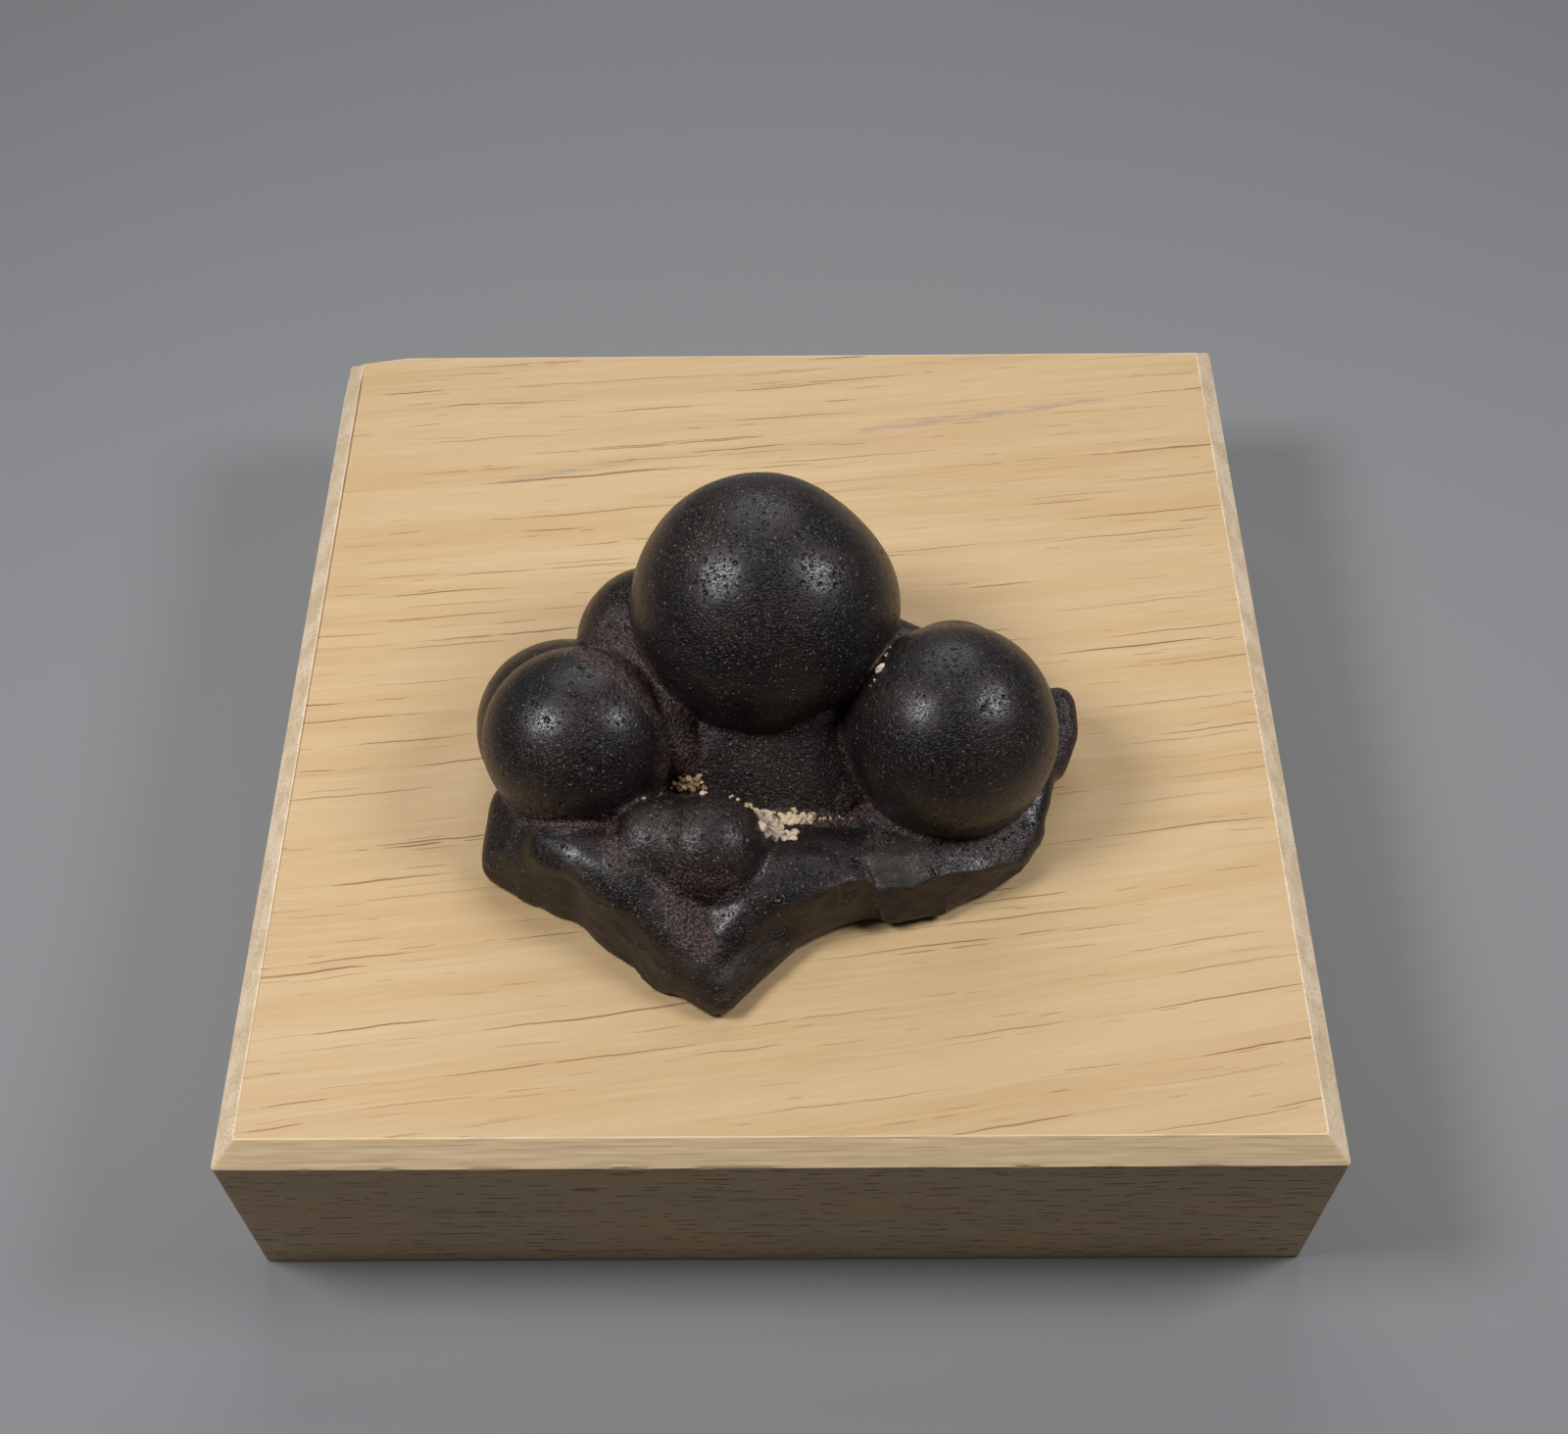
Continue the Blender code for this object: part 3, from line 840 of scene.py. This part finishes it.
outward = directions_of(mesh)
crease = smooth_step(hollowness(mesh, points, outward, 24), 0.03, 0.12)
broken = broken_share(points, outward)
skin = 1 - broken
height = SWELL[1] * cloud(points, SWELL[0]) * skin
height += WRINKLE[1] * cloud(points, WRINKLE[0], 3.0) * skin
ground = np.maximum(near_lines(points, ROUGH_GROUND) * skin, 0.6 * crease)
height += GRAIN[1] * cloud(points, GRAIN[0], 7.0) * ground
height += LUMP[1] * cloud(points, LUMP[0], 11.0) * ground
run = np.array(FLAKE_RUN.normalized())
side = np.cross(run, [0, 0, 1.0])
side /= np.linalg.norm(side)
rise = np.cross(side, run)
lie = np.column_stack([points @ run / FLAKE_SIZE[0], points @ side / 2.0, points @ rise / FLAKE_SIZE[1]])
layers = 3.0 * cloud(lie, 1.0) + 1.5 * cloud(lie * 2.1, 1.0, 4.0)
steps = np.floor(layers) + smooth_step(layers - np.floor(layers), 0.55, 1.0)
height += FLAKE_STEP * (steps - layers.mean()) * 0.5 * broken * smooth_step(outward[:, 2], -0.6, -0.2)
points += outward * height[:, None]
points[:, 2] = np.maximum(points[:, 2], FOOT_GAP)
top = cad_box[1].z / MM - BLOCK_THICK - TOP_GAP
points[:, 2] *= min(1.0, top / points[:, 2].max())
move_points(mesh, points)

thin = tin.modifiers.new("Fewer faces", "DECIMATE")
thin.ratio = MOST_TRIANGLES / sum(len(face.vertices) - 2 for face in mesh.polygons)
settle(tin)
mesh = tin.data
mesh.name = "wood_tin_looks"
mesh.shade_smooth()

# Where pits lie close together, and where pale specks do, which are partly dust and partly painted glints:
# a place, its reach and how many it has
PITTED = [
    ((3.9, -4.2, 23.8), 3.4, 1.0),
    ((-3.0, -6.0, 23.4), 4.2, 0.75),
    ((2.0, -8.5, 21.0), 5.0, 0.55),
    ((-19.5, -12.6, 15.7), 2.2, 0.8),
    ((-14.2, -12.6, 15.0), 3.0, 0.6),
    ((-7.0, -21.2, 10.8), 4.0, 0.7),
    ((19.0, -13.0, 17.3), 4.0, 0.5),
]
SPECKED = [
    ((-7.0, 1.0, 23.0), 6.0, 1.0),
    ((-1.5, 5.0, 23.6), 5.5, 1.0),
    ((5.0, 3.5, 22.5), 4.0, 0.7),
    ((-10.5, -4.5, 19.0), 4.0, 0.8),
    ((1.0, -12.0, 14.0), 7.0, 0.45),
]

points, outward = points_of(mesh), directions_of(mesh)
broken = broken_share(points, outward)
tones = {
    "broken": broken,
    "crease": smooth_step(hollowness(mesh, points, outward, 18), 0.01, 0.10),
    "deep crease": smooth_step(hollowness(mesh, points, outward, 60), 0.05, 0.30),
    "rough ground": near_lines(points, ROUGH_GROUND) * (1 - broken),
    "pitted": near_spots(points, PITTED),
    "specked": near_spots(points, SPECKED),
}
for name, values in tones.items():
    mesh.attributes.new(name, "FLOAT", "POINT").data.foreach_set("value", values.astype(np.float32))


CHARCOAL = (0.0072, 0.0056, 0.0056)
BROWN_BLACK = (0.0190, 0.0120, 0.0112)
GROUND_RED = (0.125, 0.064, 0.060)
GROUND_DARK = (0.0070, 0.0040, 0.0042)
# Brown of the broken faces: partly the rock's own colour, partly painted warm light bounced from the wood
BREAK_BROWN_WITH_PAINTED_BOUNCE = (0.034, 0.022, 0.015)
# The dark tone of the breaks, also painted into the pits as the shade inside them
BREAK_DARK_AND_PAINTED_PIT_SHADE = (0.015, 0.0115, 0.010)
# Colours of the pale specks: dust, and also painted glints off the rims of pits
PALE_DUST_AND_GLINT = (0.27, 0.21, 0.18)
RED_DUST_AND_GLINT = (0.16, 0.075, 0.065)


def spots_in(place, apart, most, luck_needed, seed):
    """Small spots, 1 at the middle: one in each cell of this size where chance reaches what is needed."""
    spot = place.node("ShaderNodeVectorMath", {}, {0: place.scaled((apart,) * 3), 1: (seed,) * 3})
    away = spot.node("ShaderNodeTexVoronoi", {}, {"Vector": spot, "Scale": 1.0})
    luck = away.node("ShaderNodeSeparateColor", {}, {0: away.other(1)})
    size = (luck.other(1) * 0.6 + 0.4) * (most / apart)
    return (1 - (away / size).rise(0.35, 1.0)) * (luck - luck_needed).rise(-0.02, 0.02)


def skin_finish():
    made, shader, place = new_finish("satin wood tin skin and its breaks")

    def tone(name):
        return place.node("ShaderNodeAttribute", {"attribute_name": name}, {}, "Fac")

    broken, crease, deep, ground, pitted, specked = (tone(name) for name in tones)
    slow = place.mottle((4.0, 4.0, 4.0), 3.0)
    grain = place.mottle((0.35, 0.35, 0.35), 3.0, 2.0)
    colour = (slow * 0.6 + grain * 0.4).rise(0.40, 0.62).tint(CHARCOAL, BROWN_BLACK)
    grit = place.mottle((0.20, 0.20, 0.20), 1.5, 6.0)
    red = grit.rise(0.44, 0.62).tint(GROUND_DARK, GROUND_RED)
    colour = (ground * 0.9).most((crease * 0.6 + deep * 0.3).least(0.8)).tint(colour, red)
    flakes = place.mottle((1.6, 1.6, 0.5), 3.0, 5.0)
    # The broken faces turn brown: partly their own colour, partly painted bounce light from the wood.
    rock = flakes.rise(0.36, 0.62).tint(BREAK_DARK_AND_PAINTED_PIT_SHADE, BREAK_BROWN_WITH_PAINTED_BOUNCE)
    colour = broken.tint(colour, rock)
    upright, level = place.scaled((0.75, 0.75, 1.5)), place.scaled((1.4, 0.8, 0.8))
    # Pale specks painted into the colour: partly dust, partly painted glints, densest on the great dome's top
    # and upper left.
    speck = spots_in(upright, 0.46, 0.17, 0.86 - specked * 0.6 - ground * 0.3, 8.0)
    speck = speck.most(spots_in(level, 0.36, 0.13, 0.84 - specked * 0.3 - ground * 0.3, 3.0))
    patches = place.node("ShaderNodeTexNoise", {}, {"Vector": place, "Scale": 1.3})
    colour = (speck * 0.8).tint(colour, patches.rise(0.35, 0.65).tint(PALE_DUST_AND_GLINT, RED_DUST_AND_GLINT))
    pits = spots_in(place, 0.80, 0.36, 0.86 - pitted * 0.7, 1.0)
    pits = pits.most(spots_in(place, 0.44, 0.20, 0.70 - pitted * 0.5, 5.0))
    pits = pits * (1 - broken)
    # Painted shade: the pits are tinted dark in colour, as if shadowed inside.
    colour = (pits * 0.8).tint(colour, BREAK_DARK_AND_PAINTED_PIT_SHADE)
    dimples = place.mottle((0.27, 0.16, 0.16), 2.0, 4.0).rise(0.34, 0.52)
    height = pits * -0.16 + grain * 0.012 + grit * ground * 0.16
    height = height + flakes * broken * 0.08 + speck * 0.012 + dimples * 0.028
    rough = 0.28 + grain * 0.09 + ground.most(crease * 0.6) * 0.24 + broken * 0.12 + pits * 0.2
    feed(shader, Base_Color=colour, Roughness=rough, Normal=relief(height))
    return made


mesh.materials.clear()
mesh.materials.append(skin_finish())
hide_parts("wood_tin")
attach(tin, "root")

# The matrix crumbs
# Crumbs of the pale clay and quartz that the mass grew in, left behind in the creases between the domes when
# the specimen was cleaned. They are stuck fast.
VIEWPOINT = Vector((1.5, -107.0, 147.2))
# For each group: the path that it lies along, how far it strays, how many there are, the least and most
# radius, and the least and most shade from pinkish white to tan
CRUMBS = {
    "left half of the white patch": (
        [(-1.3, -17.0, 6.0), (-0.3, -18.4, 5.2)],
        0.50, 54, (0.18, 0.50), (0.0, 0.3),
    ),
    "right half of the white patch": (
        [(0.5, -17.3, 6.0), (2.8, -17.3, 6.0)],
        0.38, 54, (0.14, 0.38), (0.2, 0.6),
    ),
    "lower point of the white patch": (
        [(0.0, -18.9, 4.8), (1.4, -18.3, 5.0)],
        0.30, 12, (0.16, 0.34), (0.1, 0.5),
    ),
    "tan patch": (
        [(-8.6, -13.9, 6.2), (-6.7, -13.9, 6.2)],
        0.46, 64, (0.10, 0.32), (0.55, 1.0),
    ),
    "small blocks by the tan patch": (
        [(-6.6, -15.2, 6.4), (-6.2, -15.0, 6.4)],
        0.15, 4, (0.12, 0.24), (0.2, 0.7),
    ),
    "grains along the small dome": (
        [(-4.3, -15.3, 6.5), (-2.8, -16.1, 6.4), (-1.6, -16.9, 6.2)],
        0.12, 18, (0.08, 0.2), (0.2, 0.7),
    ),
    "grains right of the patch": (
        [(3.4, -17.3, 6.0), (6.0, -17.8, 6.5)],
        0.15, 12, (0.06, 0.14), (0.3, 1.0),
    ),
    "lump beside the great dome": (
        [(8.6, -5.7, 11.0), (8.9, -5.4, 11.2)],
        0.15, 9, (0.14, 0.30), (0.0, 0.3),
    ),
    "bits beside the great dome": (
        [(9.8, -3.8, 12.5), (7.9, -6.8, 10.0)],
        0.12, 10, (0.06, 0.13), (0.1, 0.6),
    ),
    "bit on the left": (
        [(-11.4, -16.0, 7.0), (-11.2, -15.9, 7.0)],
        0.05, 2, (0.14, 0.2), (0.4, 0.7),
    ),
}
CRUMB_SINK = 0.25
CRUMB_ANGULAR = 0.32

facets = [tuple(face.vertices) for face in mesh.polygons]
tree = BVHTree.FromPolygons([Vector(point) for point in points], facets)
chance = random.Random(7)
bm = bmesh.new()
shades = []
for path, spread, count, sizes, tints in CRUMBS.values():
    for _ in range(count):
        leg = chance.randrange(len(path) - 1)
        spot = Vector(path[leg]).lerp(Vector(path[leg + 1]), chance.random())
        spot += Vector((chance.gauss(0, spread), chance.gauss(0, spread), 0)) * 0.7
        found, facing, _, _ = tree.ray_cast(VIEWPOINT, (spot - VIEWPOINT).normalized())
        size = chance.uniform(*sizes)
        made = bmesh.ops.create_icosphere(bm, subdivisions=3, radius=size)["verts"]
        stretch = Vector((chance.uniform(0.7, 1.2), chance.uniform(0.7, 1.2), chance.uniform(0.5, 0.9)))
        turn = Matrix.Rotation(chance.uniform(0, 6.3), 3, "Z")
        away = Vector((chance.random(), chance.random(), chance.random())) * 50
        shade = chance.uniform(*tints)
        for vert in made:
            rough = noise.noise(vert.co / size * 0.9 + away) + 0.5 * noise.noise(vert.co / size * 2.3 + away)
            vert.co = turn @ (vert.co * stretch * (1 + CRUMB_ANGULAR * 2 * rough))
            vert.co = (vert.co + found + facing * size * CRUMB_SINK + Vector((0, 0, BLOCK_THICK))) * MM
            shades.append(shade)
crumbs = object_from(bm, "matrix_crumbs_looks")
crumbs.data.shade_smooth()
crumbs.data.attributes.new("shade", "FLOAT", "POINT").data.foreach_set("value", shades)

PINK_WHITE = (0.68, 0.54, 0.44)
CREAM = (0.72, 0.57, 0.36)
TAN = (0.36, 0.20, 0.080)
CRUMB_BROWN = (0.13, 0.075, 0.045)


def crumb_finish():
    made, shader, place = new_finish("pale clay and quartz")
    shade = place.node("ShaderNodeAttribute", {"attribute_name": "shade"}, {}, "Fac")
    colour = shade.rise(0.0, 0.5).tint(PINK_WHITE, CREAM)
    colour = shade.rise(0.5, 1.0).tint(colour, TAN)
    dirt = place.mottle((0.5, 0.5, 0.5), 3.0, 3.0)
    colour = (dirt.rise(0.50, 0.68) * 0.8).tint(colour, CRUMB_BROWN)
    height = place.mottle((0.10, 0.10, 0.10), 2.0) * 0.05
    feed(shader, Base_Color=colour, Roughness=0.75, Normal=relief(height))
    return made


crumbs.data.materials.append(crumb_finish())
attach(crumbs, "root")

# The floor and the lamps
# A plain pale sweep with a soft lamp on each side, and a wider one farther off behind the block.
# Each lamp's direction from the specimen, its distance, its width and its power
LAMPS = {
    "left lamp": ((-0.594, -0.120, 0.786), 0.22, 0.08, 0.365),
    "right lamp": ((0.697, -0.020, 0.714), 0.22, 0.08, 0.26),
    "back lamp": ((0.0, 0.78, 0.62), 0.50, 0.40, 0.80),
}
SKY = 0.02

floor_mesh = bpy.data.meshes.new("floor")
half = 1.5
floor_corners = [(-half, -half, 0), (half, -half, 0), (half, half, 0), (-half, half, 0)]
floor_mesh.from_pydata(floor_corners, [], [(0, 1, 2, 3)])
floor = bpy.data.objects.new("floor", floor_mesh)
bpy.context.scene.collection.objects.link(floor)
made, shader, place = new_finish("pale grey floor")
feed(shader, Base_Color=(0.265, 0.27, 0.283, 1.0), Roughness=0.8)
floor_mesh.materials.append(made)
floor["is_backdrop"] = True

aim = Vector((0.0, -0.0046, 0.046))
for name, (direction, distance, size, energy) in LAMPS.items():
    lamp = bpy.data.lights.new(name, "AREA")
    lamp.shape = "DISK"
    lamp.size = size
    lamp.energy = energy
    holder = bpy.data.objects.new(name, lamp)
    holder.location = aim + Vector(direction).normalized() * distance
    holder.rotation_euler = (-Vector(direction)).to_track_quat("-Z", "Y").to_euler()
    bpy.context.scene.collection.objects.link(holder)

world = bpy.data.worlds.new("soft room light")
world.use_nodes = True
world.node_tree.nodes["Background"].inputs["Color"].default_value = (0.95, 0.97, 1.0, 1.0)
world.node_tree.nodes["Background"].inputs["Strength"].default_value = SKY
bpy.context.scene.world = world
bpy.context.scene.view_settings.view_transform = "Standard"

# The camera
# It looks down on the front of the block, as in the photograph.
lens = bpy.data.cameras.new("camera")
lens.sensor_width = 36.0
lens.lens = 36.0 * 2037 / 1600
camera = bpy.data.objects.new("camera", lens)
camera.location = (0.0015, -0.107, 0.1692)
camera.rotation_euler = [radians(turn) for turn in (35.32, 0.48, -0.08)]
bpy.context.scene.collection.objects.link(camera)
bpy.context.scene.camera = camera

bpy.context.view_layer.update()
sizes = {"cad": [list(corner) for corner in cad_box], "visual": [list(corner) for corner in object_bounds()]}
